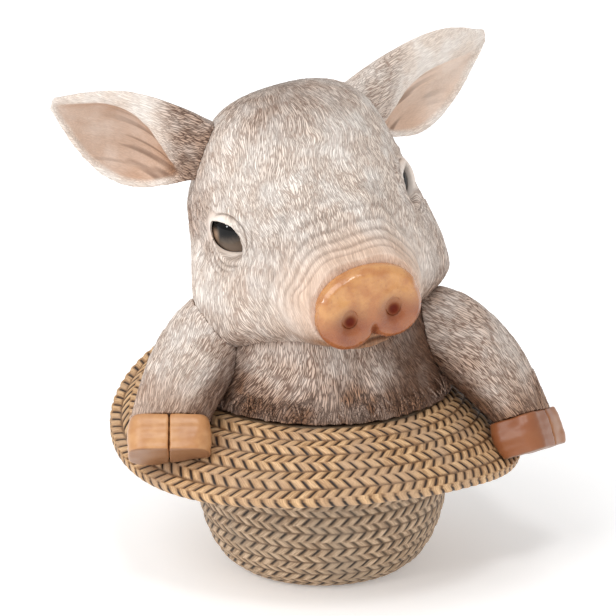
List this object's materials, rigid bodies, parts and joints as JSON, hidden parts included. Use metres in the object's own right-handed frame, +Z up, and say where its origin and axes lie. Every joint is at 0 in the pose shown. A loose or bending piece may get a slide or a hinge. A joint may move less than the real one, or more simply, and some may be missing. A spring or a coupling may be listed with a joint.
{
  "type": "pig figurine",
  "caption": "Piglet peeping out of an upturned plaited straw hat, trotters over its drooping brim; a cast, hand-painted resin ornament that stands on the hat's crown.",
  "frame": {"origin": "centre of the felt pad's underside, on the surface that the ornament stands on, under the middle of the hat's crown", "axes": "+Z is up; -Y is the front, towards the camera; +X is to the viewer's right. The snout points to the front and 21 degrees to the right of it."},
  "size_m": [0.2157, 0.176, 0.2213],
  "materials": {
    "straw_crown": "satin",
    "straw_brim": "satin",
    "felt": "matte",
    "fur": "satin",
    "snout": "gloss",
    "eye": "polished",
    "horn": "satin"
  },
  "bodies": {
    "root": {"hat_crown": "straw_crown", "hat_brim": "straw_brim", "felt_pad": "felt", "trunk": "fur", "head": "fur", "snout_pad": "snout", "ear_left": "fur", "ear_right": "fur", "eye_left": "eye", "eye_right": "eye", "foreleg_left": "fur", "foreleg_right": "fur", "left_inner_claw": "horn", "left_outer_claw": "horn", "right_inner_claw": "horn", "right_outer_claw": "horn"}
  },
  "joints": []
}
